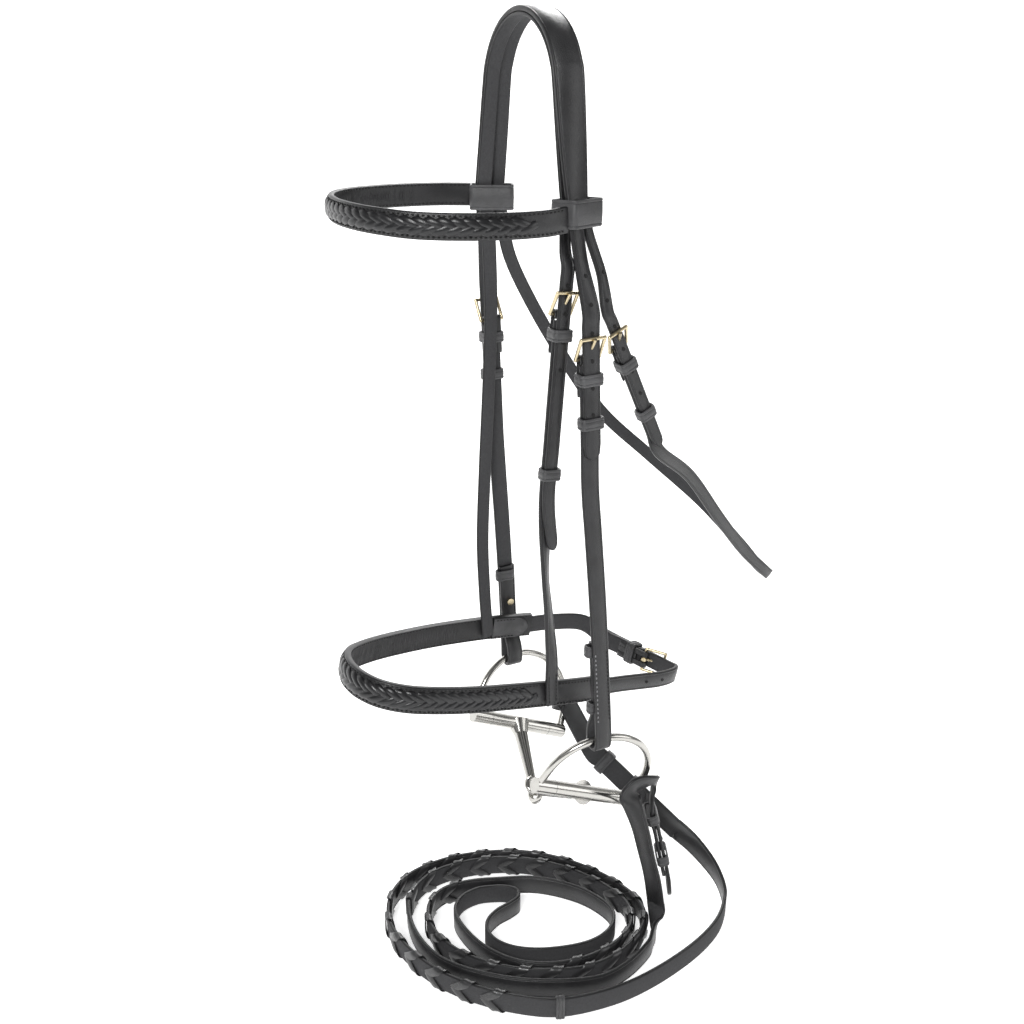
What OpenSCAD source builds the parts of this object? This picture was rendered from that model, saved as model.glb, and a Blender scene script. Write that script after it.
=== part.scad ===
// Snaffle bridle hung from its poll rest: headpiece, cheekpieces, plaited browband and noseband,
// throatlash, jointed dee bit and laced reins. The horse would face -X; its left (near) side is -Y.
// Origin: centre of the round poll rest inside the crown. Straps are swept along their middle lines.

/* [Headpiece] */
// Radius of the round rest inside the crown
poll_r = 50; // [49:0.5:51]
// Width of the headpiece over the poll
head_w = 22; // [21:0.5:23]
// Thickness of the headpiece leather
head_t = 3.5; // [3:0.1:3.6]
// Width of the noseband's slip head
slip_w = 11; // [10:0.5:12]
// Thickness of the slip head
slip_t = 2.5; // [2.2:0.1:2.6]

/* [Cheekpieces] */
// Width of the cheekpieces
cheek_w = 14; // [13:0.5:14.5]
// Thickness of a strap that carries a buckle
strap_t = 3.2; // [3:0.1:3.3]
// Thickness of a billet that passes through a buckle
billet_t = 3.4; // [3:0.1:3.4]
// Travel of a sliding runner each way
runner_travel = 12; // [4:1:12]

/* [Bands] */
// Width of the browband
brow_w = 17; // [16:0.5:18]
// Width of the padded noseband
nose_w = 21; // [20:0.5:22]
// Width of the straps at the back of the noseband
nose_rear_w = 15; // [14:0.5:16]
// Width of the throatlash
throat_w = 10; // [9:0.5:11]

/* [Bit] */
// Radius of the ring wire
wire_r = 3; // [2.8:0.1:3.2]
// Radius of the arc of the dee ring, to the middle of the wire
ring_r = 46.5; // [45:0.5:47]
// Length of one half of the mouthpiece, from the bar to the centre joint
cannon_len = 68.5; // [66:0.5:70]
// Outer radius of the hinge sleeves and collars
sleeve_r = 6.2; // [6:0.1:6.4]

/* [Reins] */
// Width of the reins
rein_w = 18; // [17:0.5:19]
// Thickness of the reins
rein_t = 3; // [2.8:0.1:3.2]

/* [Hidden] */
$fn = 48;

leather = "#2b2a2b";
lining = "#3a3938";
steel = "#c9c7c2";
brass = "#cdbf98";

near = -1;
far = 1;
gap = 0.2;
smoothing = 5;
head_x = 5.4;
arch_end = 10;
head_mid_r = poll_r + slip_t + gap + head_t / 2;
slip_mid_r = poll_r + slip_t / 2;

// Buckle sets, in a frame with its origin on the hinge bar, straps running down -Z, outside at -Y
bar_r = 1.4;
buckle_wire_r = 1.3;
top_bar_out = 8.4;
top_bar_up = 15;
under_out = 1.8;
billet_out = under_out + strap_t / 2 + gap + billet_t / 2;
chape_len = 26;
prong_r = 1.1;
prong_angle = atan2(top_bar_out, top_bar_up)
    + asin((prong_r + buckle_wire_r + 0.1) / norm([top_bar_out, top_bar_up]));
prong_len = norm([top_bar_out, top_bar_up]) + 2;
keeper_h = 8;
keeper_t = 1.6;

// Dee bit: middle of the near bar, its slope down to the rear and the ring's outward tilt
bar_pos = [28, 59, -533];
bar_slope = 24.6;
ring_tilt = 18;
ring_lift = 18;
bar_rod_r = 3.4;
sleeve_half = 31;
collar_end = ring_r + wire_r;
cannon_droop = 30.5;
eye_r = 7;
eye_wire_r = 2.5;
eye_back = 3.5;
eye_shift = eye_r * sin(cannon_droop) / 2;
ring_hang = [30, 77, -472.9];
loop_r = wire_r + 2 + strap_t / 2;

floor_z = -665;
rein_mid_z = floor_z + rein_w / 2;
coil_pos = [-27, -55, 0];
coil_a = 117;
coil_b = 85;
coil_turn = -38;

// ---- vectors, frames and sweeps -------------------------------------------------------------

function unit(v) = v / norm(v);
function turn_x(v, a) = [v[0], v[1] * cos(a) - v[2] * sin(a), v[1] * sin(a) + v[2] * cos(a)];
function turn_y(v, a) = [v[0] * cos(a) + v[2] * sin(a), v[1], v[2] * cos(a) - v[0] * sin(a)];
function turn_z(v, a) = [v[0] * cos(a) - v[1] * sin(a), v[0] * sin(a) + v[1] * cos(a), v[2]];
function turned(v, r) = turn_z(turn_y(turn_x(v, r[0]), r[1]), r[2]);

// A frame is [origin, [rx, ry, rz], side]; a point in it is given as x, outwards, up
function in_frame(f, x, out, up) = concat(
    f[0] + turned([x, f[2] * out, up], f[1]), turned([1, 0, 0], f[1]));

// Rows [x, out, z, twist] for either side become [x, y, z, width direction]
function sided(rows, side) = [for (p = rows) [p[0], side * p[1], p[2], cos(p[3]), -side * sin(p[3]), 0]];
function with_width(rows, w) = [for (p = rows) concat(p, w)];

function blend4(a, b, c, d, t) = 0.5 * (2 * b + (c - a) * t + (2 * a - 5 * b + 4 * c - d) * t * t
    + (3 * b - a - 3 * c + d) * t * t * t);
function smooth(p, n) = [
    for (i = [0 : len(p) - 2], k = [0 : n - 1])
        blend4(p[max(i - 1, 0)], p[i], p[i + 1], p[min(i + 2, len(p) - 1)], k / n),
    p[len(p) - 1]
];
function place(p) = [p[0], p[1], p[2]];
function ring_at(p, i, outline, shift) =
    let (t = unit(place(p[min(i + 1, len(p) - 1)]) - place(p[max(i - 1, 0)])),
         w0 = [p[i][3], p[i][4], p[i][5]],
         w = unit(w0 - (w0 * t) * t),
         n = cross(t, w))
    [for (q = outline) place(p[i]) + q[0] * w + (q[1] + shift) * n];

// Sweeps an outline, given as width and thickness points, along rows [x, y, z, width direction]
module sweep(rows, outline, shift = 0, n = smoothing) {
    p = smooth(rows, n);
    m = len(outline);
    last = (len(p) - 1) * m;
    points = [for (i = [0 : len(p) - 1]) each ring_at(p, i, outline, shift)];
    walls = [for (i = [0 : len(p) - 2], k = [0 : m - 1]) each [
        [i * m + k, (i + 1) * m + k, i * m + (k + 1) % m],
        [(i + 1) * m + k, (i + 1) * m + (k + 1) % m, i * m + (k + 1) % m]
    ]];
    ends = [[for (k = [0 : m - 1]) k], [for (k = [m - 1 : -1 : 0]) last + k]];
    polyhedron(points, concat(walls, ends), convexity = 10);
}

function strap_outline(w, t) = [[w / 2, t / 2], [-w / 2, t / 2], [-w / 2, -t / 2], [w / 2, -t / 2]];
function cord_outline(w, t, c) = [
    [w / 2 - c, t / 2], [c - w / 2, t / 2], [-w / 2, t / 2 - c], [-w / 2, c - t / 2],
    [c - w / 2, -t / 2], [w / 2 - c, -t / 2], [w / 2, c - t / 2], [w / 2, t / 2 - c]
];
module strap(rows, w, t, shift = 0, n = smoothing) {
    sweep(rows, strap_outline(w, t), shift, n);
}

module in_place(f) {
    translate(f[0]) rotate(f[1]) mirror([0, f[2] > 0 ? 1 : 0, 0]) children();
}

// ---- frames -----------------------------------------------------------------------------------

function cheek_frame(side) = [[10.9, side * 76.1, -167], [0, -2.6, 0], side];
slip_frame = [[-5, near * 65.5, -137], [0, 4.2, 0], near];
throat_frame = [[38.6, near * 70.5, -163], [4, -27, 0], near];
nose_frame = [[121, 0, -461], [110, -76.5, 0], near];

// ---- routes -------------------------------------------------------------------------------------

nose_up = [sin(13.5), 0, cos(13.5)];

function head_rows(side) = sided([
    [head_x, head_mid_r * cos(arch_end + 2), head_mid_r * sin(arch_end + 2), 0],
    [head_x, 60.5, -31, 12],
    [head_x, 66.6, -64, 26]
], side);
function cheek_billet_rows(side) = concat(sided([
    [1.2, 68.5, -62.6, 26],
    [3, 70.9, -80, 25],
    [5.8, 74, -104, 24]
], side), [
    in_frame(cheek_frame(side), 0, billet_out, 34),
    in_frame(cheek_frame(side), 0, billet_out, 20),
    in_frame(cheek_frame(side), 0, billet_out, -20),
    in_frame(cheek_frame(side), 0, billet_out, -72)
]);
throat_billet_rows = concat(sided([
    [11.5, 63.6, -62.6, 26],
    [14.6, 66.6, -84, 27],
    [23, 71.4, -112, 24]
], near), [
    in_frame(throat_frame, 0, billet_out, 32),
    in_frame(throat_frame, 0, billet_out, 20),
    in_frame(throat_frame, 0, billet_out, -20),
    in_frame(throat_frame, 0, billet_out, -86)
]);
throat_far_rows = [
    [11.5, 63.6, -62.6, cos(26), -sin(26), 0],
    [14, 66.4, -78, 0.9, -0.4, 0.2],
    [16.6, 68.2, -90, 0.88, -0.4, 0.26]
];
throatlash_rows = concat([
    [16.8, 68.3, -90.5, 0.88, -0.4, 0.26],
    [24, 69.4, -118, 0.85, -0.4, 0.35],
    [40, 66, -152, 0.8, -0.4, 0.45],
    [64, 58, -195, 0.75, -0.4, 0.5],
    [97, 47, -245, 0.7, -0.35, 0.6],
    [140, 34, -287, 0.65, -0.3, 0.68],
    [185, 20, -330, 0.65, -0.2, 0.7],
    [222, 10, -372, 0.7, -0.1, 0.68],
    [242, 6, -396, 0.72, 0, 0.68],
    [250, 0, -404, 0.72, 0, 0.68],
    [242, -6, -398, 0.72, 0.05, 0.68],
    [208, -16, -368, 0.74, 0.1, 0.66],
    [167, -32, -326, 0.8, 0.1, 0.6],
    [122, -49, -277, 0.85, 0.05, 0.5]
], [
    in_frame(throat_frame, 0, under_out, -94),
    in_frame(throat_frame, 0, under_out, -74),
    in_frame(throat_frame, 0, under_out, -40),
    in_frame(throat_frame, 0, under_out, -4)
]);
function slip_rows(side) = sided([
    [0, slip_mid_r * cos(arch_end + 2), slip_mid_r * sin(arch_end + 2), 0],
    [-0.5, 57.3, -31, 12],
    [-0.8, 62.6, -64, 26]
], side);
slip_near_rows = concat(sided([[-0.8, 62.4, -62.6, 26], [-2.6, 66.6, -94, 20]], near), [
    in_frame(slip_frame, 0, billet_out, 32),
    in_frame(slip_frame, 0, billet_out, 20),
    in_frame(slip_frame, 0, billet_out, -20),
    in_frame(slip_frame, 0, billet_out, -90),
    in_frame(slip_frame, 0, billet_out, -132),
    [-11, -71.5, -306, 0.98, 0.2, 0]
]);
slip_far_rows = [
    [-0.8, 62.4, -62.6, 0.9, -0.44, 0],
    [3.6, 66.2, -92, 0.95, -0.3, 0],
    [6.6, 68.2, -150, 0.98, -0.1, 0],
    [4.8, 68, -206, 1, 0, 0],
    [0, 67.4, -290, 1, 0, 0],
    [-4, 64, -350, 1, 0.05, 0],
    [-5, 58.5, -396, 0.98, 0.1, 0],
    [-4.5, 55.3, -424, 0.97, 0.14, 0],
    [-3.5, 55.4, -436, 0.97, 0.14, 0]
];
noseband_cheek_rows = [
    in_frame(slip_frame, 0, under_out, -4),
    in_frame(slip_frame, 0, under_out, -40),
    in_frame(slip_frame, 0, under_out, -92),
    in_frame(slip_frame, 0, under_out, -134),
    [-15.6, -69, -322, 0.7, 0.7, 0],
    [-12, -68, -356, 0.75, 0.65, 0],
    [-7.4, -66, -396, 0.95, 0.3, 0],
    [-6.6, -65.2, -418, 0.98, 0.17, 0],
    [-5.8, -65, -438, 0.98, 0.17, 0]
];

// The outer run of a cheekpiece, the turn round the ring wire and the inner run up to its tip
function cheek_rows(side) = concat([
    in_frame(cheek_frame(side), 0, under_out, -4),
    in_frame(cheek_frame(side), 0, under_out, -32),
    in_frame(cheek_frame(side), 0, under_out, -64),
    in_frame(cheek_frame(side), 0, under_out, -96)
], sided([
    [18.4, 79.2, -300, 0],
    [22.6, 80.6, -350, 0],
    [26.2, 81.8, -400, 0],
    [28.6, 83, -440, 0],
    [29.8, ring_hang[1] + loop_r, -462, 0],
    for (a = [0 : 30 : 180])
        [ring_hang[0], ring_hang[1] + loop_r * cos(a), ring_hang[2] - loop_r * sin(a), 0],
    [29.8, ring_hang[1] - loop_r + 0.6, -462, 0],
    [28.8, 78.2, -444, 0],
    [27.2, 78.7, -420, 0],
    [26.2, 78.3, -400, 0],
    [25.2, 77.9, -384, 0]
], side));

function brow_loop_frame(side) = [[head_x, side * 66.4, -71.5], [0, 0, side * -26], side];
brow_band_rows = with_width([
    [-8.5, -75.3, -74.6],
    [-24, -80, -75.6],
    [-50, -80.5, -76],
    [-80, -75, -75.6],
    [-106, -62, -74.8],
    [-124, -42, -73],
    [-133, -20, -71.6],
    [-135, 4, -70.6],
    [-131, 28, -69.8],
    [-118, 50, -69.2],
    [-96, 66, -69],
    [-66, 76, -69],
    [-34, 80, -69.4],
    [-8.5, 75.3, -70]
], [0, 0, 1]);
brow_plait_rows = with_width([
    [-34, -80.6, -75.8],
    [-50, -80.5, -76],
    [-80, -75, -75.6],
    [-106, -62, -74.8],
    [-124, -42, -73],
    [-133, -20, -71.6],
    [-135, 4, -70.6],
    [-131, 28, -69.8],
    [-118, 50, -69.2],
    [-96, 66, -69],
    [-66, 76, -69],
    [-42, 79.6, -69.2]
], [0, 0, 1]);
nose_band_rows = with_width([
    [46, -50, -444],
    [20, -55, -438],
    [-14, -60.6, -429.6],
    [-45, -65, -422],
    [-72, -68, -415.6],
    [-98, -68.4, -409.4],
    [-122, -65, -404],
    [-140, -55, -400],
    [-150, -38, -398],
    [-152, -16, -398.4],
    [-145, 6, -402],
    [-130, 24, -408.6],
    [-109, 39, -415],
    [-82, 49, -420],
    [-51, 55, -424],
    [-13, 60, -429.4],
    [12, 61.6, -433],
    [40, 62, -437]
], nose_up);
nose_plait_rows = with_width([
    [-20, -61.6, -428.2],
    [-45, -65, -422],
    [-72, -68, -415.6],
    [-98, -68.4, -409.4],
    [-122, -65, -404],
    [-140, -55, -400],
    [-150, -38, -398],
    [-152, -16, -398.4],
    [-145, 6, -402],
    [-130, 24, -408.6],
    [-109, 39, -415],
    [-82, 49, -420],
    [-51, 55, -424],
    [-20, 59.2, -428.4]
], nose_up);
nose_near_rows = concat(with_width([
    [30, -53, -440.4],
    [46, -50, -444],
    [70, -45, -449.6],
    [92, -41, -455],
    [112, -38, -459.4],
    [128, -33, -462.4]
], nose_up), [
    in_frame(nose_frame, 0, billet_out, 29),
    in_frame(nose_frame, 0, billet_out, 19),
    in_frame(nose_frame, 0, billet_out, -20),
    in_frame(nose_frame, 0, billet_out, -36),
    in_frame(nose_frame, 0, billet_out + 1, -58)
]);
nose_far_rows = concat([
    in_frame(nose_frame, 0, under_out, -4),
    in_frame(nose_frame, 0, under_out, -30),
    in_frame(nose_frame, 0, under_out - 0.6, -46)
], with_width([
    [92, 57.4, -445],
    [64, 62.4, -440],
    [40, 62, -437],
    [26, 61.8, -435]
], nose_up));

// Rows moved sideways through the strap's own thickness
function beside(p, k) = [
    for (i = [0 : len(p) - 1])
        let (t = unit(place(p[min(i + 1, len(p) - 1)]) - place(p[max(i - 1, 0)])),
             w0 = [p[i][3], p[i][4], p[i][5]],
             w = unit(w0 - (w0 * t) * t))
        concat(place(p[i]) + k * cross(t, w), w)
];

// Near rein end: up from the floor, across the front of the ring wire and down again as a tail
near_rein_end_rows = [
    [84.1, -90, -641, -0.31, 0.95, 0],
    [81.3, -87, -617.5, -0.31, 0.95, 0],
    [76.3, -84, -594.3, -0.31, 0.93, 0.1],
    [71.2, -82, -571, -0.4, 0.85, 0.2],
    [65, -80, -549.7, -0.55, 0.6, 0.5],
    [61, -78, -535, -0.5, 0.2, 0.8],
    [66.6, -77, -527.4, 0, -0.2, 1],
    [78, -77.4, -526.6, 0.3, -0.32, 0.9],
    [87, -75.4, -529.4, 0.36, -0.3, 0.88],
    [90.6, -70.4, -535, 0.4, 0.3, 0.8],
    [87.4, -71, -546, 0.44, 0.85, 0.2],
    [87, -73, -560, 0.44, 0.9, 0],
    [92, -74.4, -574, 0.44, 0.9, 0],
    [96, -75.4, -592, 0.44, 0.9, 0],
    [100, -76.4, -610, 0.44, 0.9, 0],
    [104, -77.4, -628, 0.44, 0.9, 0],
    [106.4, -78, -649, 0.44, 0.9, 0]
];
near_rein_chape_rows = beside([for (i = [11 : 15]) near_rein_end_rows[i]], -rein_t - 0.4);

// Far rein end: up to the far ring, round its wire and back along its own inner face
far_rein_width = [0.3, 0.22, 0.93];
far_rein_main_rows = with_width([
    [141, -32, -623],
    [125, -6, -604],
    [109, 20, -585],
    [101, 33, -575.5],
    [96, 41.2, -569.5]
], far_rein_width);
far_rein_tail_rows = beside([for (i = [4 : -1 : 1]) far_rein_main_rows[i]], rein_t + 0.3);
far_wire = [81.4, 66.9, -529];
far_rein_turn_r = 10.4;
far_wire_run = unit([0.396, 0.309, 0.865]);
far_pull = unit([0.83, -0.52, -0.195]);
far_across = cross(far_pull, far_wire_run);
far_rein_end_rows = concat(far_rein_main_rows, [
    for (a = [0 : 30 : 180])
        concat(far_wire + far_rein_turn_r * (cos(a) * far_across - sin(a) * far_pull), far_wire_run)
], far_rein_tail_rows);

near_rein_rows = [
    [84.2, -90.6, -642.2, -0.31, 0.95, 0],
    [83.6, -93, -648, -0.3, 0.8, -0.4],
    [80, -98, -653.6, -0.2, 0.5, -0.8],
    [74, -105, rein_mid_z, 0, 0.1, -1],
    [66, -113, rein_mid_z, 0, 0, -1],
    [57, -121, rein_mid_z, 0, 0, -1]
];
far_rein_rows = [
    [142.2, -34, -624.5, 0.2, 0.3, 0.9],
    [151, -50, -633, 0.1, 0.2, 0.95],
    [157, -74, -646, 0, 0.1, 1],
    [153, -94, -653, 0, 0, 1],
    [143, -108, rein_mid_z, 0, 0, 1],
    [126, -123, rein_mid_z, 0, 0, 1],
    [98, -140, rein_mid_z, 0, 0, 1],
    [70, -147.4, rein_mid_z, 0, 0, 1],
    [36, -151, rein_mid_z, 0, 0, 1],
    [8, -150.6, rein_mid_z, 0, 0, 1]
];

// ---- hardware in a buckle frame ---------------------------------------------------------------

module rod(from, to, r) {
    v = to - from;
    translate(from) rotate([0, acos(v[2] / norm(v)), atan2(v[1], v[0])]) cylinder(r = r, h = norm(v));
}

module buckle_frame(w) {
    half = w / 2 + 0.9 + buckle_wire_r;
    color(brass) {
        translate([-half, 0, 0]) rotate([0, 90, 0]) cylinder(r = bar_r, h = 2 * half);
        for (s = [-1, 1]) {
            rod([s * half, 0, 0], [s * half, -top_bar_out, top_bar_up], buckle_wire_r);
            translate([s * half, -top_bar_out, top_bar_up]) sphere(r = buckle_wire_r);
            translate([s * half, 0, 0]) sphere(r = bar_r);
        }
        translate([-half, -top_bar_out, top_bar_up]) rotate([0, 90, 0])
            cylinder(r = buckle_wire_r, h = 2 * half);
    }
}

module prong() {
    color(brass) difference() {
        union() {
            rotate([0, 90, 0]) cylinder(r = 2.7, h = 2.6, center = true);
            rotate([prong_angle, 0, 0]) cylinder(r = prong_r, h = prong_len);
        }
        rotate([0, 90, 0]) cylinder(r = bar_r + 0.06, h = 4, center = true);
    }
}

// Folded and stitched strap end that holds the hinge bar, slotted for the prong
module chape(w) {
    difference() {
        union() {
            rotate([0, 90, 0]) cylinder(r = 3.4, h = w + 0.4, center = true);
            translate([-w / 2 - 0.2, -3.2, -chape_len]) cube([w + 0.4, 6.6, chape_len]);
        }
        rotate([0, 90, 0]) cylinder(r = bar_r + 0.02, h = w + 1, center = true);
        translate([-1.8, -4, -3.6]) cube([3.6, 8, 8]);
    }
}

// Slot in a billet for the prong to stand and lift in
module prong_slot() {
    translate([-1.7, -9, 0.4]) cube([3.4, 9, 12.2]);
}

// Leather loop round a strap pair; low and high are its inner faces across the thickness
module keeper(w, low, high, z) {
    color(lining) translate([0, -(low + high) / 2, z]) difference() {
        cube([w + 0.8 + 2 * keeper_t, high - low + 2 * keeper_t, keeper_h], center = true);
        cube([w + 0.8, high - low, keeper_h + 2], center = true);
    }
}
module fixed_keeper(w) {
    keeper(w, -3.5, billet_out + billet_t / 2 + 0.2, -14);
}
module runner(w, z) {
    keeper(w, under_out - strap_t / 2 - 0.5, billet_out + billet_t / 2 + 0.5, z);
}

// ---- straps -------------------------------------------------------------------------------------

module arch(x, w, t, mid_r) {
    translate([x - w / 2, 0, 0]) rotate([90, 0, 90]) rotate([0, 0, arch_end])
        rotate_extrude(angle = 180 - 2 * arch_end) translate([mid_r - t / 2, 0]) square([t, w]);
}

module headpiece() {
    color(leather) difference() {
        union() {
            arch(head_x, head_w, head_t, head_mid_r);
            for (side = [near, far]) {
                strap(head_rows(side), head_w - 0.4, head_t + 0.3);
                strap(cheek_billet_rows(side), cheek_w - 1, billet_t);
            }
            strap(throat_billet_rows, throat_w - 1, billet_t);
            strap(throat_far_rows, throat_w - 1, billet_t);
        }
        for (side = [near, far]) in_place(cheek_frame(side)) prong_slot();
        in_place(throat_frame) prong_slot();
    }
}

module sliphead() {
    color(leather) difference() {
        union() {
            arch(0, slip_w, slip_t, slip_mid_r);
            for (side = [near, far]) strap(slip_rows(side), slip_w - 0.5, slip_t - 0.3);
            strap(slip_near_rows, slip_w - 1, slip_t);
            strap(slip_far_rows, slip_w, slip_t);
        }
        in_place(slip_frame) prong_slot();
    }
}

module browband() {
    color(leather) strap(brow_band_rows, brow_w, 4);
}
module browband_plait() {
    color(leather) strap(brow_plait_rows, brow_w - 7, 2.4, -3.3);
}
module browband_loop(side) {
    color(leather) in_place(brow_loop_frame(side)) difference() {
        translate([-15, -10.1, -9]) cube([33, 21.1, 18]);
        translate([-13.2, -8.3, -10]) cube([29.4, 17.5, 20]);
    }
}

module buckle_strap(frame, rows, w) {
    color(leather) union() {
        in_place(frame) chape(w);
        difference() {
            strap(rows, w, strap_t);
            in_place(frame) translate([-w, -2, -8]) cube([2 * w, 20, 14]);
            in_place(frame) translate([0, 4, 0]) cube([2 * w, 8, 8], center = true);
        }
    }
}

module cheekpiece(side) {
    buckle_strap(cheek_frame(side), cheek_rows(side), cheek_w);
}
module bit_keepers(side) {
    color(lining) for (p = [[25.7, 80, -392], [28.7, 80.7, -441]])
        translate([p[0], side * p[1], p[2]]) difference() {
            cube([cheek_w + 4.2, 12, keeper_h], center = true);
            cube([cheek_w + 1, 8.8, keeper_h + 2], center = true);
        }
}
module hook_stud(side) {
    color(brass) translate([27.4, side * 75.2, -418]) rotate([side * -90, 0, 0]) {
        cylinder(r = 1.4, h = 6);
        translate([0, 0, -1.4]) cylinder(r = 3, h = 1.5);
    }
}

module noseband() {
    color(leather) strap(nose_band_rows, nose_w, 5);
}
module noseband_plait() {
    color(leather) strap(nose_plait_rows, nose_w - 8, 2.4, -3.8);
}
module noseband_near_strap() {
    color(leather) difference() {
        strap(nose_near_rows, nose_rear_w - 1, billet_t);
        in_place(nose_frame) prong_slot();
    }
}
module noseband_far_strap() {
    buckle_strap(nose_frame, nose_far_rows, nose_rear_w);
}
module noseband_cheek() {
    buckle_strap(slip_frame, noseband_cheek_rows, slip_w);
}
module throatlash() {
    buckle_strap(throat_frame, throatlash_rows, throat_w);
}

// ---- bit ------------------------------------------------------------------------------------------

module at_bar(side) {
    translate([bar_pos[0], side * bar_pos[1], bar_pos[2]]) rotate([0, bar_slope, 0])
        mirror([0, side > 0 ? 1 : 0, 0]) children();
}
module dee_ring() {
    rotate([ring_tilt, 0, 0]) {
        translate([0, 0, ring_lift]) rotate([90, 0, 0])
            rotate_extrude(angle = 180) translate([ring_r, 0]) circle(r = wire_r);
        for (s = [-1, 1]) {
            translate([s * ring_r, 0, 0]) cylinder(r = wire_r, h = ring_lift);
            translate([s < 0 ? -collar_end : sleeve_half + 0.3, 0, 0]) rotate([0, 90, 0])
                cylinder(r = sleeve_r, h = collar_end - sleeve_half - 0.3);
        }
        translate([-collar_end, 0, 0]) rotate([0, 90, 0]) cylinder(r = bar_rod_r, h = 2 * collar_end);
    }
}
module cannon(eye_across) {
    difference() {
        union() {
            rotate([0, 90, 0]) cylinder(r = sleeve_r, h = 2 * sleeve_half, center = true);
            rotate([-90 - cannon_droop, 0, 0]) {
                cylinder(r1 = 6.6, r2 = 4, h = cannon_len - eye_back - eye_r + 1);
                cylinder(r1 = 10, r2 = 6, h = 12);
            }
            translate([0, (cannon_len - eye_back) * cos(cannon_droop),
                (eye_back - cannon_len) * sin(cannon_droop) + (eye_across ? 1 : -1) * eye_shift])
                rotate([-cannon_droop, 0, 0]) rotate([0, eye_across ? 0 : 90, 0])
                rotate_extrude() translate([eye_r, 0]) circle(r = eye_wire_r);
        }
        rotate([0, 90, 0]) cylinder(r = bar_rod_r + 0.06, h = 3 * sleeve_half, center = true);
    }
}

// ---- reins ------------------------------------------------------------------------------------------

// Leather loop round a rein and the layer beside it, at c on a run along t
module rein_keeper(c, t, w0, side) {
    w = unit(w0 - (w0 * t) * t);
    n = cross(t, w);
    m = c + side * (rein_t / 2 + 0.15) * n;
    color(lining) multmatrix([
        [w[0], n[0], t[0], m[0]],
        [w[1], n[1], t[1], m[1]],
        [w[2], n[2], t[2], m[2]],
        [0, 0, 0, 1]
    ]) difference() {
        cube([rein_w + 1 + 2 * keeper_t, 2 * rein_t + 1.5 + 2 * keeper_t, keeper_h], center = true);
        cube([rein_w + 1, 2 * rein_t + 1.5, keeper_h + 2], center = true);
    }
}
module near_rein_loop(i, k) {
    a = place(near_rein_end_rows[i]);
    b = place(near_rein_end_rows[i + 1]);
    rein_keeper(a + k * (b - a), unit(b - a), [0.44, 0.9, 0], -1);
}
module far_rein_loop(i, k) {
    a = place(far_rein_main_rows[i]);
    b = place(far_rein_main_rows[i + 1]);
    rein_keeper(a + k * (b - a), unit(b - a), far_rein_width, -1);
}
module rein_coil() {
    color(leather) translate([coil_pos[0], coil_pos[1], floor_z]) rotate([0, 0, coil_turn])
        linear_extrude(rein_w) polygon([for (a = [0 : 5 : 355]) [coil_a * cos(a), coil_b * sin(a)]]);
}

headpiece();
sliphead();
browband();
browband_plait();
browband_loop(near);  // browband_near_loop
browband_loop(far);  // browband_far_loop
cheekpiece(near);  // near_cheekpiece
in_place(cheek_frame(near)) buckle_frame(cheek_w);  // near_cheek_buckle
in_place(cheek_frame(near)) prong();  // near_cheek_prong
in_place(cheek_frame(near)) fixed_keeper(cheek_w);  // near_cheek_keeper
in_place(cheek_frame(near)) runner(cheek_w, -45);  // near_cheek_runner
bit_keepers(near);  // near_bit_keepers
hook_stud(near);  // near_hook_stud
cheekpiece(far);  // far_cheekpiece
in_place(cheek_frame(far)) buckle_frame(cheek_w);  // far_cheek_buckle
in_place(cheek_frame(far)) prong();  // far_cheek_prong
in_place(cheek_frame(far)) fixed_keeper(cheek_w);  // far_cheek_keeper
in_place(cheek_frame(far)) runner(cheek_w, -45);  // far_cheek_runner
bit_keepers(far);  // far_bit_keepers
hook_stud(far);  // far_hook_stud
noseband();
noseband_plait();
noseband_near_strap();
noseband_far_strap();
in_place(nose_frame) buckle_frame(nose_rear_w);  // noseband_buckle
in_place(nose_frame) prong();  // noseband_prong
in_place(nose_frame) fixed_keeper(nose_rear_w);  // noseband_keeper
noseband_cheek();
in_place(slip_frame) buckle_frame(slip_w);  // noseband_cheek_buckle
in_place(slip_frame) prong();  // noseband_cheek_prong
in_place(slip_frame) fixed_keeper(slip_w);  // noseband_cheek_keeper
in_place(slip_frame) runner(slip_w, -112);  // noseband_cheek_runner
throatlash();
in_place(throat_frame) buckle_frame(throat_w);  // throatlash_buckle
in_place(throat_frame) prong();  // throatlash_prong
in_place(throat_frame) fixed_keeper(throat_w);  // throatlash_keeper
in_place(throat_frame) runner(throat_w, -56);  // throatlash_runner
color(steel) at_bar(near) dee_ring();  // near_ring
color(steel) at_bar(near) cannon(false);  // near_cannon
color(steel) at_bar(far) dee_ring();  // far_ring
color(steel) at_bar(far) cannon(true);  // far_cannon
color(leather) strap(near_rein_end_rows, rein_w, rein_t);  // near_rein_end
color(leather) strap(near_rein_chape_rows, rein_w, rein_t);  // near_rein_chape
near_rein_loop(11, 0.25);  // near_rein_keeper
near_rein_loop(13, 0.8);  // near_rein_runner
color(leather) strap(far_rein_end_rows, rein_w, rein_t);  // far_rein_end
far_rein_loop(2, 0.7);  // far_rein_keeper
far_rein_loop(1, 0.45);  // far_rein_runner
color(leather) sweep(near_rein_rows, cord_outline(rein_w, rein_t, 0.8));  // near_rein
color(leather) sweep(far_rein_rows, cord_outline(rein_w, rein_t, 0.8));  // far_rein
rein_coil();
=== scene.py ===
"""Snaffle bridle: leather, plaits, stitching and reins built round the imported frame."""
import math

import bpy
import numpy as np
from mathutils import Matrix, Vector


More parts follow.
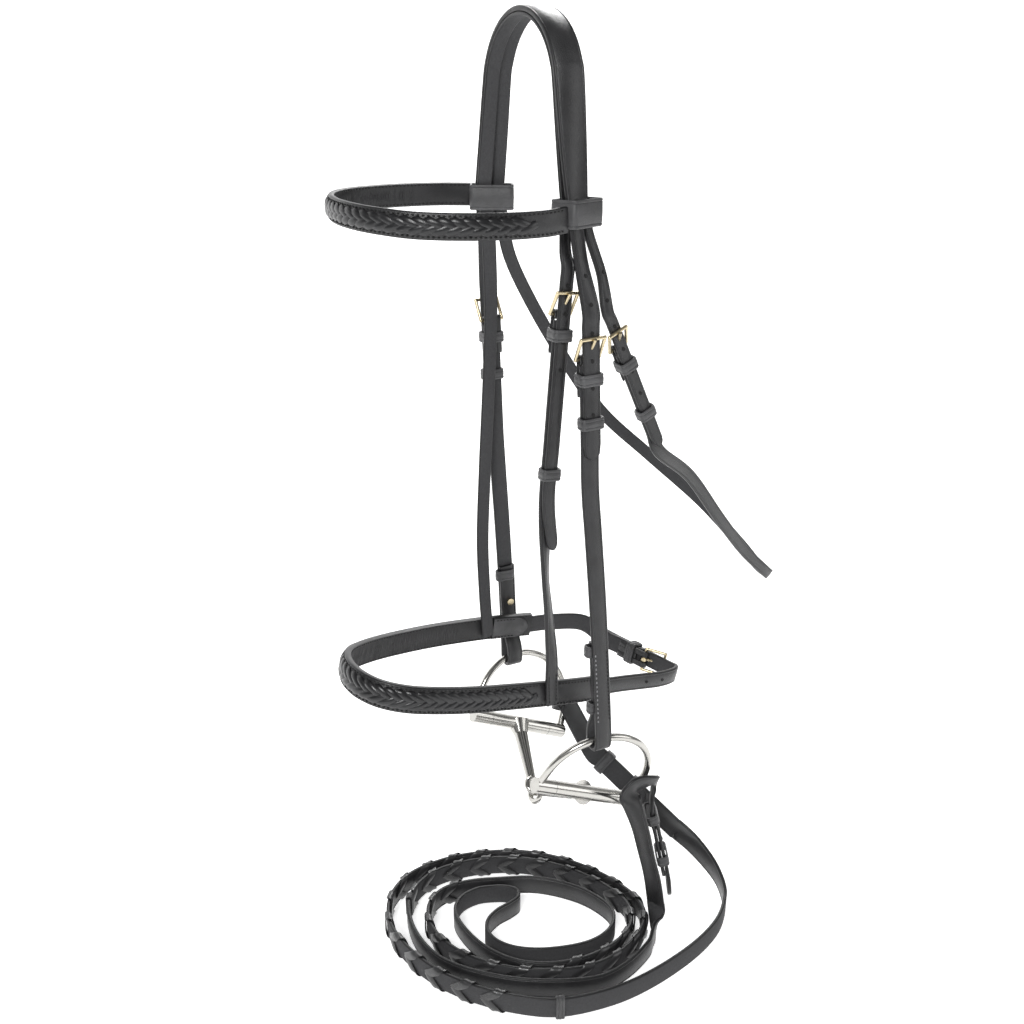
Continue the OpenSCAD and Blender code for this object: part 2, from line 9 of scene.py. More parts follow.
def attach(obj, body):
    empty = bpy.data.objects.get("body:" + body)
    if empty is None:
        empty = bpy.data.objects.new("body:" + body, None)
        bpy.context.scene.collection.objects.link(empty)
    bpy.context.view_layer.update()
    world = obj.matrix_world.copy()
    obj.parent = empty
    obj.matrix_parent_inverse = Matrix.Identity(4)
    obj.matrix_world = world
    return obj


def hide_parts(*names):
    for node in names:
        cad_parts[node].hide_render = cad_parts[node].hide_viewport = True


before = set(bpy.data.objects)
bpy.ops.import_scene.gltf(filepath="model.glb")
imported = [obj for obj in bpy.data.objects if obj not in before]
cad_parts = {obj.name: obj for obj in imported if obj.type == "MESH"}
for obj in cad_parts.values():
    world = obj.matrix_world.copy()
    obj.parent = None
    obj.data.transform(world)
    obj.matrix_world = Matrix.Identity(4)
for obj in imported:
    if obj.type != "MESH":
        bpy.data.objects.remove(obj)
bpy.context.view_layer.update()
MM = 0.001

# ---- camera ----------------------------------------------------------------------------------
CAMERA_PLACE = (-0.365, -0.718, 0.0035)
CAMERA_TURN = (26.42, 20.85, 0.13)
LENS, SENSOR, NEAREST = 38.93, 36.0, 0.02
yaw, pitch, roll = (math.radians(a) for a in CAMERA_TURN)
ahead = Vector((math.sin(yaw) * math.cos(pitch), math.cos(yaw) * math.cos(pitch), -math.sin(pitch)))
right = Vector((math.cos(yaw), -math.sin(yaw), 0.0))
up = right.cross(ahead)
right, up = math.cos(roll) * right + math.sin(roll) * up, math.cos(roll) * up - math.sin(roll) * right
camera_data = bpy.data.cameras.new("camera")
camera_data.lens = LENS
camera_data.sensor_width = SENSOR
camera_data.clip_start = NEAREST
camera = bpy.data.objects.new("camera", camera_data)
bpy.context.collection.objects.link(camera)
axes = Matrix((right, up, -ahead)).transposed().to_4x4()
camera.matrix_world = Matrix.Translation(CAMERA_PLACE) @ axes
bpy.context.scene.camera = camera


# ---- materials: texture scales are per metre, depths in metres ---------------------------------
PEBBLES, PEBBLE_DEPTH = 1500.0, 0.0004
CREASES, CREASE_DEPTH, CREASE_STRENGTH = 45.0, 0.0012, 0.35
FIBRES, FIBRE_DEPTH, FIBRE_STRENGTH = 700.0, 0.0005, 0.5
POLISH, POLISH_DEPTH = 90.0, 0.00006
TWISTS = 900.0


def new_material(name):
    """A node material with its nodes, links and shader."""
    m = bpy.data.materials.new(name)
    m.use_nodes = True
    return m, m.node_tree.nodes, m.node_tree.links, m.node_tree.nodes["Principled BSDF"]


def leather(name, colour, rough, grain, shine_level, mottle=0.5):
    """Dressed leather: fine pebbled grain, soft mottling and a sheen that varies."""
    m, nodes, links, skin = new_material(name)
    place = nodes.new("ShaderNodeTexCoord")
    big = nodes.new("ShaderNodeTexNoise")
    big.inputs["Scale"].default_value = CREASES
    big.inputs["Detail"].default_value = 6.0
    links.new(place.outputs["Object"], big.inputs["Vector"])
    ramp = nodes.new("ShaderNodeValToRGB")
    ramp.color_ramp.elements[0].position = 0.3
    ramp.color_ramp.elements[1].position = 0.75
    ramp.color_ramp.elements[0].color = [c * (1 - 0.4 * mottle) for c in colour] + [1]
    ramp.color_ramp.elements[1].color = [c * (1 + 0.7 * mottle) for c in colour] + [1]
    links.new(big.outputs["Fac"], ramp.inputs["Fac"])
    links.new(ramp.outputs["Color"], skin.inputs["Base Color"])
    shine = nodes.new("ShaderNodeMapRange")
    shine.inputs["To Min"].default_value = rough - 0.08
    shine.inputs["To Max"].default_value = rough + 0.12
    links.new(big.outputs["Fac"], shine.inputs["Value"])
    links.new(shine.outputs["Result"], skin.inputs["Roughness"])
    pebble = nodes.new("ShaderNodeTexVoronoi")
    pebble.inputs["Scale"].default_value = PEBBLES
    links.new(place.outputs["Object"], pebble.inputs["Vector"])
    bump = nodes.new("ShaderNodeBump")
    bump.inputs["Strength"].default_value = grain
    bump.inputs["Distance"].default_value = PEBBLE_DEPTH
    links.new(pebble.outputs["Distance"], bump.inputs["Height"])
    crease = nodes.new("ShaderNodeBump")
    crease.inputs["Strength"].default_value = CREASE_STRENGTH
    crease.inputs["Distance"].default_value = CREASE_DEPTH
    links.new(big.outputs["Fac"], crease.inputs["Height"])
    links.new(crease.outputs["Normal"], bump.inputs["Normal"])
    links.new(bump.outputs["Normal"], skin.inputs["Normal"])
    skin.inputs["Specular IOR Level"].default_value = shine_level
    return m


def suede(name, colour):
    """The rough flesh side of a strap."""
    m, nodes, links, skin = new_material(name)
    place = nodes.new("ShaderNodeTexCoord")
    fibre = nodes.new("ShaderNodeTexNoise")
    fibre.inputs["Scale"].default_value = FIBRES
    fibre.inputs["Detail"].default_value = 8.0
    fibre.inputs["Roughness"].default_value = 0.7
    links.new(place.outputs["Object"], fibre.inputs["Vector"])
    ramp = nodes.new("ShaderNodeValToRGB")
    ramp.color_ramp.elements[0].color = [c * 0.55 for c in colour] + [1]
    ramp.color_ramp.elements[1].color = [c * 1.6 for c in colour] + [1]
    links.new(fibre.outputs["Fac"], ramp.inputs["Fac"])
    links.new(ramp.outputs["Color"], skin.inputs["Base Color"])
    bump = nodes.new("ShaderNodeBump")
    bump.inputs["Strength"].default_value = FIBRE_STRENGTH
    bump.inputs["Distance"].default_value = FIBRE_DEPTH
    links.new(fibre.outputs["Fac"], bump.inputs["Height"])
    links.new(bump.outputs["Normal"], skin.inputs["Normal"])
    skin.inputs["Roughness"].default_value = 0.85
    return m


def metal(name, colour, rough, scratch=0.05):
    """Polished metal whose gloss varies a little."""
    m, nodes, links, skin = new_material(name)
    place = nodes.new("ShaderNodeTexCoord")
    cloud = nodes.new("ShaderNodeTexNoise")
    cloud.inputs["Scale"].default_value = POLISH
    cloud.inputs["Detail"].default_value = 4.0
    links.new(place.outputs["Object"], cloud.inputs["Vector"])
    shine = nodes.new("ShaderNodeMapRange")
    shine.inputs["To Min"].default_value = rough * 0.7
    shine.inputs["To Max"].default_value = rough * 1.5
    links.new(cloud.outputs["Fac"], shine.inputs["Value"])
    links.new(shine.outputs["Result"], skin.inputs["Roughness"])
    bump = nodes.new("ShaderNodeBump")
    bump.inputs["Strength"].default_value = scratch
    bump.inputs["Distance"].default_value = POLISH_DEPTH
    links.new(cloud.outputs["Fac"], bump.inputs["Height"])
    links.new(bump.outputs["Normal"], skin.inputs["Normal"])
    skin.inputs["Base Color"].default_value = list(colour) + [1]
    skin.inputs["Metallic"].default_value = 1.0
    return m


def thread(name, colour):
    """Sewing thread with a twist."""
    m, nodes, links, skin = new_material(name)
    place = nodes.new("ShaderNodeTexCoord")
    twist = nodes.new("ShaderNodeTexWave")
    twist.inputs["Scale"].default_value = TWISTS
    twist.inputs["Distortion"].default_value = 2.0
    links.new(place.outputs["Object"], twist.inputs["Vector"])
    ramp = nodes.new("ShaderNodeValToRGB")
    ramp.color_ramp.elements[0].color = [c * 0.6 for c in colour] + [1]
    ramp.color_ramp.elements[1].color = list(colour) + [1]
    links.new(twist.outputs["Fac"], ramp.inputs["Fac"])
    links.new(ramp.outputs["Color"], skin.inputs["Base Color"])
    skin.inputs["Roughness"].default_value = 0.7
    return m


GRAIN = leather("bridle_leather", (0.016, 0.016, 0.017), 0.36,
                grain=0.35, mottle=0.9, shine_level=0.5)
EDGE = leather("leather_edge", (0.009, 0.009, 0.010), 0.4, grain=0.05, shine_level=0.4)
FLESH = suede("leather_flesh", (0.034, 0.034, 0.036))
WORN = leather("keeper_leather", (0.05, 0.05, 0.052), 0.42,
               grain=0.4, mottle=0.9, shine_level=0.45)
PLAIT = leather("plait_leather", (0.008, 0.008, 0.009), 0.3, grain=0.1, shine_level=0.5)
LACE = leather("lace_leather", (0.024, 0.024, 0.025), 0.28, grain=0.15, mottle=0.9, shine_level=0.6)
LINING = leather("lining_leather", (0.016, 0.016, 0.017), 0.42, grain=0.3, shine_level=0.42)
# Painted shade: near-black for the discs that stand in for the shadowed insides of the punched holes
HOLE_SHADE = suede("hole_painted_shade", (0.004, 0.004, 0.004))
THREAD = thread("grey_thread", (0.26, 0.26, 0.27))
DARK_THREAD = thread("dark_thread", (0.003, 0.003, 0.003))
BRASS = metal("pale_brass", (0.62, 0.53, 0.35), 0.26)
STEEL = metal("polished_steel", (0.50, 0.49, 0.465), 0.17, scratch=0.03)


# ---- strap geometry, in millimetres ------------------------------------------------------------
def vec(*v):
    """Numbers as an array."""
    return np.array(v, float)


def unit(v):
    """A vector at length 1."""
    v = np.asarray(v, float)
    return v / np.linalg.norm(v)


def turned(v, r):
    """A vector turned by r degrees about X, then Y, then Z."""
    a, b, c = (math.radians(x) for x in r)
    x, y, z = v
    y, z = y * math.cos(a) - z * math.sin(a), y * math.sin(a) + z * math.cos(a)
    x, z = x * math.cos(b) + z * math.sin(b), z * math.cos(b) - x * math.sin(b)
    x, y = x * math.cos(c) - y * math.sin(c), x * math.sin(c) + y * math.cos(c)
    return vec(x, y, z)


def in_frame(f, out, z):
    """A route row in a buckle's frame, out from its bar and z along the strap."""
    return list(vec(*f[0]) + turned((0, f[2] * out, z), f[1])) + list(turned((1, 0, 0), f[1]))


def sided(rows, side):
    """Rows of x, distance out, z and turn, on one side of the head."""
    return [[x, side * o, z, math.cos(math.radians(a)), -side * math.sin(math.radians(a)), 0]
            for x, o, z, a in rows]


def with_width(rows, w):
    """Points given one width direction."""
    return [list(p) + list(w) for p in rows]


def smooth(rows, n):
    """A smooth curve through rows, with n steps between each two."""
    p = np.array(rows, float)
    out = []
    for i in range(len(p) - 1):
        a, b, c, d = p[max(i - 1, 0)], p[i], p[i + 1], p[min(i + 2, len(p) - 1)]
        for k in range(n):
            t = k / n
            out.append(0.5 * (2 * b + (c - a) * t + (2 * a - 5 * b + 4 * c - d) * t * t
                              + (3 * b - a - 3 * c + d) * t ** 3))
    out.append(p[-1])
    return np.array(out)


def beside(rows, k):
    """The same route moved k along its face direction."""
    out = []
    for i, row in enumerate(rows):
        t = unit(np.array(rows[min(i + 1, len(rows) - 1)][:3]) - np.array(rows[max(i - 1, 0)][:3]))
        w = np.array(row[3:], float)
        w = unit(w - np.dot(w, t) * t)
        out.append(list(np.array(row[:3]) + k * np.cross(t, w)) + list(w))
    return out


class Run:
    """A strap's middle line with its width direction, measured along its length."""

    def __init__(self, rows, n=6):
        p = smooth(rows, n)
        self.p = p[:, :3]
        after = np.vstack([self.p[1:], self.p[-1:]])
        before = np.vstack([self.p[:1], self.p[:-1]])
        self.t = (after - before) / np.linalg.norm(after - before, axis=1)[:, None]
        w = p[:, 3:] - (p[:, 3:] * self.t).sum(1)[:, None] * self.t
        self.w = w / np.linalg.norm(w, axis=1)[:, None]
        self.n = np.cross(self.t, self.w)
        self.s = np.concatenate([[0], np.cumsum(np.linalg.norm(self.p[1:] - self.p[:-1], axis=1))])
        self.length = self.s[-1]

    def frame(self, s):
        """Point, run, width and face directions at s."""
        def pick(a):
            return np.array([np.interp(s, self.s, a[:, k]) for k in range(3)])
        return pick(self.p), unit(pick(self.t)), unit(pick(self.w)), unit(pick(self.n))

    def point(self, s, w, o):
        """The point at s, w across and o out; past an end it goes straight on."""
        p, t, wd, n = self.frame(s)
        over = s - min(max(s, 0), self.length)
        return p + w * wd + o * n + over * t

    def near(self, point):
        """Distance along the run to the station closest to a point."""
        return self.s[np.argmin(np.linalg.norm(self.p - np.array(point[:3]), axis=1))]


def resampled(run, stations):
    """The same run with its rings at other stations."""
    fine = Run.__new__(Run)
    frames = [run.frame(s) for s in stations]
    fine.p, fine.t, fine.w, fine.n = (np.array([f[k] for f in frames]) for k in range(4))
    fine.s, fine.length = np.array(stations), run.length
    return fine


SHARP_ANGLE = 48


class Build:
    """Collects faces for one mesh."""

    def __init__(self):
        self.v, self.f, self.m = [], [], []

    def skin(self, rings, mats=0, closed=False):
        """Rings of equal length joined in order; mats is one material or one for each side face."""
        base, m = len(self.v), len(rings[0])
        for ring in rings:
            self.v.extend([list(p) for p in ring])
        count = len(rings)
        for i in range(count if closed else count - 1):
            j = (i + 1) % count
            for k in range(m):
                q = (k + 1) % m
                self.f.append([base + i * m + k, base + i * m + q, base + j * m + q, base + j * m + k])
                self.m.append(mats[k] if hasattr(mats, "__len__") else mats)
        if not closed:
            self.f.append([base + k for k in range(m - 1, -1, -1)])
            self.f.append([base + (count - 1) * m + k for k in range(m)])
            self.m.extend([mats[0] if hasattr(mats, "__len__") else mats] * 2)

    def stitch(self, a, b, r):
        """A six-sided stitch from a to b, thinner at its ends."""
        a, b = np.array(a), np.array(b)
        t = unit(b - a)
        ref = vec(0, 0, 1) if abs(t[2]) < 0.8 else vec(1, 0, 0)
        ref = unit(ref - np.dot(ref, t) * t)
        side = np.cross(t, ref)
        turns = [2 * math.pi * k / 6 for k in range(6)]
        self.skin([[p + radius * (math.cos(c) * ref + math.sin(c) * side) for c in turns]
                   for p, radius in ((a, 0.45 * r), (a + 0.18 * (b - a), r),
                                     (a + 0.82 * (b - a), r), (b, 0.45 * r))])

    def lace(self, run, path, half, thick, steps):
        """A narrow flat strip over a strap's surface; path rows are (s, w, o, normal w, normal o)."""
        q = smooth(path, steps)
        rings = []
        for i in range(len(q)):
            d = q[min(i + 1, len(q) - 1)][:3] - q[max(i - 1, 0)][:3]
            n = vec(0, q[i][3], q[i][4])
            d = unit(d)
            n = unit(n - np.dot(n, d) * d)
            b = np.cross(d, n)
            ring = []
            for u, v in ((-1, -0.3), (-0.75, 0.75), (0, 1), (0.75, 0.75), (1, -0.3), (0.7, -1), (-0.7, -1)):
                c = q[i][:3] + u * half * b + v * thick * 0.5 * n
                ring.append(run.point(c[0], c[1], c[2]))
            rings.append(ring)
        self.skin(rings)

    def make(self, name, materials, body):
        """The mesh as an object that rides on a body."""
        mesh = bpy.data.meshes.new(name)
        mesh.from_pydata([[c * MM for c in p] for p in self.v], [], self.f)
        for m in materials:
            mesh.materials.append(m)
        mesh.polygons.foreach_set("material_index", self.m)
        mesh.polygons.foreach_set("use_smooth", [True] * len(mesh.polygons))
        mesh.update()
        obj = bpy.data.objects.new(name, mesh)
        bpy.context.collection.objects.link(obj)
        bpy.context.view_layer.objects.active = obj
        mesh.set_sharp_from_angle(angle=math.radians(SHARP_ANGLE))
        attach(obj, body)
        return obj


def strap_profile(w, t, out=1):
    """Outline of a strap and its face materials: 0 grain, 1 edge, 2 flesh."""
    h, e = t / 2, w / 2
    outer = [(-e, -0.1), (-e + 0.25, h - 0.45), (-e + 0.8, h), (-e + 1.5, h), (-e + 1.9, h - 0.35),
             (-e + 2.3, h), (0, h + 0.1)]
    mats = [1, 1, 0, 0, 0, 0]
    mirrored = [(-a, b) for a, b in outer[::-1][1:]]
    points = outer + mirrored + [(e - 0.3, -h + 0.3), (e - 0.8, -h), (-e + 0.8, -h), (-e + 0.3, -h + 0.3)]
    mats = mats + mats[::-1] + [1, 1, 2, 1, 1]
    points = [(a, out * b) for a, b in points]
    if out < 0:
        points = points[::-1]
        mats = mats[::-1][1:] + mats[::-1][:1]
    return points, mats


def sweep(build, run, points, mats, taper=None):
    """An outline carried along a run; taper(s) scales its width."""
    rings = []
    for i in range(len(run.p)):
        k = taper(run.s[i]) if taper else 1.0
        rings.append([run.p[i] + a * k * run.w[i] + b * run.n[i] for a, b in points])
    # Faces stay outwards whichever way the outline runs
    area = sum(points[k][0] * points[(k + 1) % len(points)][1]
               - points[(k + 1) % len(points)][0] * points[k][1] for k in range(len(points)))
    if area < 0:
        rings = [r[::-1] for r in rings]
        mats = mats[::-1][1:] + mats[::-1][:1]
    build.skin(rings, mats)


def strap(build, rows, w, t, out=1, n=6, tip=False, pinch=None):
    """Builds a strap and returns its run; pinch is (point, reach, width there) where a turn gathers it."""
    run = Run(rows, n)
    points, mats = strap_profile(w, t, out)
    tip_length = w * 0.7

    def taper(s):
        k, left = 1.0, run.length - s
        if left < tip_length:
            k = min(k, max(0.12, math.sqrt(max(0.0, 1 - (1 - left / tip_length) ** 2))))
        if pinch:
            away = min(1.0, abs(s - run.near(pinch[0])) / pinch[1])
            k *= 1 - (1 - pinch[2]) * (0.5 + 0.5 * math.cos(math.pi * away))
        return k
    if not tip:
        sweep(build, run, points, mats)
        return run
    extra = [run.length - tip_length * f for f in (0.5, 0.25, 0.1, 0.02)]
    stations = sorted(set(list(run.s) + [s for s in extra if 0 < s < run.length]))
    sweep(build, resampled(run, stations), points, mats, taper)
    return run


# Pitch, length and thread radius of each kind of stitching
PALE_STITCH = (3.6, 1.7, 0.6)
FINE_STITCH = (3.2, 1.8, 0.35)
CLOSE_STITCH = (3.0, 1.8, 0.35)
CHEEK_STITCH = (3.2, 1.8, 0.4)
PATCH_STITCH = (3.2, 1.8, 0.45)
BAND_STITCH = (3.2, 1.7, 0.55)


def stitches(build, run, s0, s1, lines, style):
    """Rows of stitches from s0 to s1; lines gives each row's place across and out."""
    pitch, length, r = style
    count = max(1, int((s1 - s0) / pitch))
    for w, o in lines:
        for k in range(count):
            s = s0 + (k + 0.5) * (s1 - s0) / count
            build.stitch(run.point(s - length / 2, w, o), run.point(s + length / 2, w, o), r)


def holes(build, run, positions, o):
    """Punched holes, drawn as near-black dished discs on the strap's face; the near-black is painted shade
    standing in for the inside of each hole.
    """
    for s in positions:
        c, t, w, n = run.frame(s)
        rings = []
        for depth, r in ((0.0, 0.2), (0.05, 1.25), (-0.5, 1.3)):
            middle = c + (o + math.copysign(depth, o)) * n
            rings.append([middle + r * (math.cos(a) * t * 1.15 + math.sin(a) * w)
                          for a in np.linspace(0, 2 * math.pi, 13)[:-1]])
        build.skin(rings)


def rounded(w, low, high, r, n=5):
    """Rounded rectangle through x and out, as (point, outward normal)."""
    out = []
    corners = (((w / 2 - r), high - r, 0), (-(w / 2 - r), high - r, 90),
               (-(w / 2 - r), low + r, 180), ((w / 2 - r), low + r, 270))
    for cx, cy, a0 in corners:
        for k in range(n + 1):
            a = math.radians(a0 + 90 * k / n)
            out.append(((cx + r * math.cos(a), cy + r * math.sin(a)), (math.cos(a), math.sin(a))))
    return out


def keeper(build, origin, x, o, z, w, low, high, h=8.0, t=1.5):
    """A leather loop with two pressed lines; x, o and z are its unit directions."""
    half = h / 2
    section = [(-half, 0), (-half - 0.1, t * 0.7), (-half + 0.7, t), (-half + 1.6, t),
               (-half + 1.95, t - 0.35), (-half + 2.3, t), (0, t + 0.12), (half - 2.3, t),
               (half - 1.95, t - 0.35), (half - 1.6, t), (half - 0.7, t), (half + 0.1, t * 0.7), (half, 0)]
    rings = []
    for (px, po), (nx, no) in rounded(w, low, high, 1.4):
        rings.append([origin + (px + nx * d) * x + (po + no * d) * o + a * z for a, d in section])
    build.skin(rings, closed=True)


def frame_axes(f):
    """A buckle frame's origin and its three directions."""
    return vec(*f[0]), turned((1, 0, 0), f[1]), turned((0, f[2], 0), f[1]), turned((0, 0, 1), f[1])


# ---- sizes and routes of part.scad, in millimetres; the browband's and reins' ends differ a little
near, far = -1, 1
head_x, head_w, head_t, head_mid = 5.4, 22.0, 3.5, 54.45
slip_w, slip_t, slip_mid = 11.0, 2.5, 51.25
cheek_w, strap_t, billet_t = 14.0, 3.2, 3.4
brow_w, nose_w, rear_w, throat_w, rein_w, rein_t = 17.0, 21.0, 15.0, 10.0, 18.0, 3.0
under, billet = 1.8, 5.3


def cheek_frame(side):
    """The frame of a cheek buckle: place, turn in degrees and side."""
    return ((10.9, side * 76.1, -167), (0, -2.6, 0), side)


slip_frame = ((-5, near * 65.5, -137), (0, 4.2, 0), near)
throat_frame = ((38.6, near * 70.5, -163), (4, -27, 0), near)
nose_frame = ((121, 0, -461), (110, -76.5, 0), near)
nose_up = (math.sin(math.radians(13.5)), 0, math.cos(math.radians(13.5)))


def arch_rows(x, mid):
    """Most of a half circle of radius mid over the poll."""
    return [[x, -mid * math.cos(math.radians(a)), mid * math.sin(math.radians(a)), 1, 0, 0]
            for a in range(12, 169, 12)]


head_leg = [[head_x, 60.5, -31, 12], [head_x, 66.6, -64, 26]]
head_route = sided(head_leg, near)[::-1] + arch_rows(head_x, head_mid) + sided(head_leg, far)
slip_leg = [[-0.5, 57.3, -31, 12], [-0.8, 62.6, -64, 26]]
slip_route = sided(slip_leg, near)[::-1] + arch_rows(0, slip_mid) + sided(slip_leg, far)


def cheek_billet_route(side):
    """From the headpiece down through the cheek buckle."""
    return sided([[1.2, 68.5, -62.6, 26], [3, 70.9, -80, 25], [5.8, 74, -104, 24]], side) + [
        in_frame(cheek_frame(side), billet, k) for k in (34, 20, -20, -72)]


throat_billet_route = sided([[11.5, 63.6, -62.6, 26], [14.6, 66.6, -84, 27], [23, 71.4, -112, 24]], near) + [
    in_frame(throat_frame, billet, k) for k in (32, 20, -20, -86)]
throat_route = [
    [11.5, 63.6, -62.6, 0.9, -0.44, 0],
    [14, 66.4, -78, 0.9, -0.4, 0.2],
    [16.6, 68.2, -90, 0.88, -0.4, 0.26],
    [24, 69.4, -118, 0.85, -0.4, 0.35],
    [40, 66, -152, 0.8, -0.4, 0.45],
    [64, 58, -195, 0.75, -0.4, 0.5],
    [97, 47, -245, 0.7, -0.35, 0.6],
    [140, 34, -287, 0.65, -0.3, 0.68],
    [185, 20, -330, 0.65, -0.2, 0.7],
    [222, 10, -372, 0.7, -0.1, 0.68],
    [242, 6, -396, 0.72, 0, 0.68],
    [250, 0, -404, 0.72, 0, 0.68],
    [242, -6, -398, 0.72, 0.05, 0.68],
    [208, -16, -368, 0.74, 0.1, 0.66],
    [167, -32, -326, 0.8, 0.1, 0.6],
    [122, -49, -277, 0.85, 0.05, 0.5]
] + [in_frame(throat_frame, under, k) for k in (-94, -74, -40, -4)]
slip_near_route = sided([[-0.8, 62.4, -62.6, 26], [-2.6, 66.6, -94, 20]], near) + [
    in_frame(slip_frame, billet, k) for k in (32, 20, -20, -90, -132)] + [[-11, -71.5, -306, 0.98, 0.2, 0]]
slip_far_route = [
    [-0.8, 62.4, -62.6, 0.9, -0.44, 0],
    [3.6, 66.2, -92, 0.95, -0.3, 0],
    [6.6, 68.2, -150, 0.98, -0.1, 0],
    [4.8, 68, -206, 1, 0, 0],
    [0, 67.4, -290, 1, 0, 0],
    [-4, 64, -350, 1, 0.05, 0],
    [-5, 58.5, -396, 0.98, 0.1, 0],
    [-4.5, 55.3, -424, 0.97, 0.14, 0],
    [-3.5, 55.4, -436, 0.97, 0.14, 0]
]
nose_cheek_route = [in_frame(slip_frame, under, k) for k in (-4, -40, -92, -134)] + [
    [-15.6, -69, -322, 0.7, 0.7, 0],
    [-12, -68, -356, 0.75, 0.65, 0],
    [-7.4, -66, -396, 0.95, 0.3, 0],
    [-6.6, -65.2, -418, 0.98, 0.17, 0],
    [-5.8, -65, -438, 0.98, 0.17, 0]
]


def cheek_route(side):
    """From the buckle down, round the bit ring and up again inside."""
    hang_y, hang_z, loop = 77, -472.9, 6.6
    rows = [[18.4, 79.2, -300, 0], [22.6, 80.6, -350, 0], [26.2, 81.8, -400, 0], [28.6, 83, -440, 0],
            [29.8, hang_y + loop, -462, 0]]
    rows += [[30, hang_y + loop * math.cos(math.radians(a)), hang_z - loop * math.sin(math.radians(a)), 0]
             for a in range(0, 181, 30)]
    rows += [[29.8, hang_y - loop + 0.6, -462, 0], [28.8, 78.2, -444, 0], [27.2, 78.7, -420, 0],
             [26.2, 78.3, -400, 0], [25.2, 77.9, -384, 0]]
    return [in_frame(cheek_frame(side), under, k) for k in (-4, -32, -64, -96)] + sided(rows, side)


brow_route = with_width([
    (-7.2, -74.7, -74.6), (-24, -80, -75.6), (-50, -80.5, -76), (-80, -75, -75.6), (-106, -62, -74.8),
    (-124, -42, -73), (-133, -20, -71.6), (-135, 4, -70.6), (-131, 28, -69.8), (-118, 50, -69.2),
    (-96, 66, -69), (-66, 76, -69), (-34, 80, -69.4), (-7.2, 74.7, -70)], (0, 0, 1))
nose_route = with_width([
    (46, -50, -444), (20, -55, -438), (-14, -60.6, -429.6), (-45, -65, -422), (-72, -68, -415.6),
    (-98, -68.4, -409.4), (-122, -65, -404), (-140, -55, -400), (-150, -38, -398), (-152, -16, -398.4),
    (-145, 6, -402), (-130, 24, -408.6), (-109, 39, -415), (-82, 49, -420), (-51, 55, -424),
    (-13, 60, -429.4), (12, 61.6, -433), (40, 62, -437)], nose_up)
nose_near_route = with_width([(30, -53, -440.4), (46, -50, -444), (70, -45, -449.6), (92, -41, -455),
                              (112, -38, -459.4), (128, -33, -462.4)], nose_up) + [
    in_frame(nose_frame, billet, k) for k in (29, 19, -20, -36)] + [in_frame(nose_frame, billet + 1, -58)]
nose_far_route = [in_frame(nose_frame, under, k) for k in (-4, -30)] + [
    in_frame(nose_frame, under - 0.6, -46)] + with_width([
        (92, 57.4, -445), (64, 62.4, -440), (40, 62, -437), (26, 61.8, -435)], nose_up)

near_end_route = [
    [84.1, -90, -641, -0.31, 0.95, 0],
    [81.3, -87, -617.5, -0.31, 0.95, 0],
    [76.3, -84, -594.3, -0.31, 0.93, 0.1],
    [71.2, -82, -571, -0.4, 0.85, 0.2],
    [65, -80, -549.7, -0.55, 0.6, 0.5],
    [61, -78, -535, -0.5, 0.2, 0.8],
    [66.6, -77, -527.4, 0, -0.2, 1],
    [78, -77.4, -526.6, 0.3, -0.32, 0.9],
    [87, -75.4, -529.4, 0.36, -0.3, 0.88],
    [90.6, -70.8, -535, 0.43, 0.12, 0.88],
    [87.8, -71, -546, 0.45, 0.6, 0.6],
    [87, -73, -560, 0.44, 0.88, 0.14],
    [92, -74.4, -574, 0.44, 0.9, 0],
    [96, -75.4, -592, 0.44, 0.9, 0],
    [100, -76.4, -610, 0.44, 0.9, 0],
    [104, -77.4, -628, 0.44, 0.9, 0],
    [106.4, -78, -649, 0.44, 0.9, 0]
]
near_chape_route = beside(near_end_route[11:16], -rein_t - 0.4)
far_main_route = with_width([(141, -32, -623), (125, -6, -604), (109, 20, -585), (101, 33, -575.5),
                             (96, 41.2, -569.5)], (0.3, 0.22, 0.93))
far_tail_route = beside(far_main_route[:0:-1], rein_t + 0.3)
wire = vec(81.4, 66.9, -529)
wire_run = unit((0.396, 0.309, 0.865))
pull = unit((0.83, -0.52, -0.195))
across = np.cross(pull, wire_run)
FAR_TURN_R = 10.4


def far_turn(a):
    """A row of the far rein's turn round its ring, at a degrees."""
    turn = math.cos(math.radians(a)) * across - math.sin(math.radians(a)) * pull
    return list(wire + FAR_TURN_R * turn) + list(wire_run)


far_end_route = [[141.9, -33.6, -623.9, 0.3, 0.22, 0.93]] + far_main_route + [
    far_turn(a) for a in range(0, 181, 30)] + far_tail_route

# The reins: down from the near side, round and in, over at the fold, and out to the far side
floor_z = -665.0
lie = floor_z + rein_w / 2
near_drop = [
    [84.2, -90.2, -641.6, -0.31, 0.95, 0],
    [83.6, -93, -648, -0.3, 0.8, -0.4],
    [80, -98, -653.6, -0.2, 0.5, -0.8]
]
near_floor = [
    (74, -105), (66, -113), (57, -121), (32, -132), (5, -136), (-25, -127), (-59, -108), (-88, -82),
    (-104, -57), (-109, -26), (-104, 4), (-93, 22), (-74, 35), (-50, 39), (-16, 33), (14, 18), (39, -6),
    (57, -35), (66, -62), (65, -81), (56, -96), (41, -106), (20, -112), (-5, -112), (-31, -104),
    (-51, -89), (-65, -66), (-71, -40), (-70, -18), (-59, -4), (-42, 0), (-27, -4), (-16, -10)]
fold = [(-11, -17), (-14, -25)]
inner = [(-24, -29), (-37, -32), (-49, -39), (-55, -50), (-53, -65), (-41, -80), (-19, -92), (11, -99),
         (34, -95), (48, -82), (50, -65), (39, -38), (13, -11), (-20, 4)]
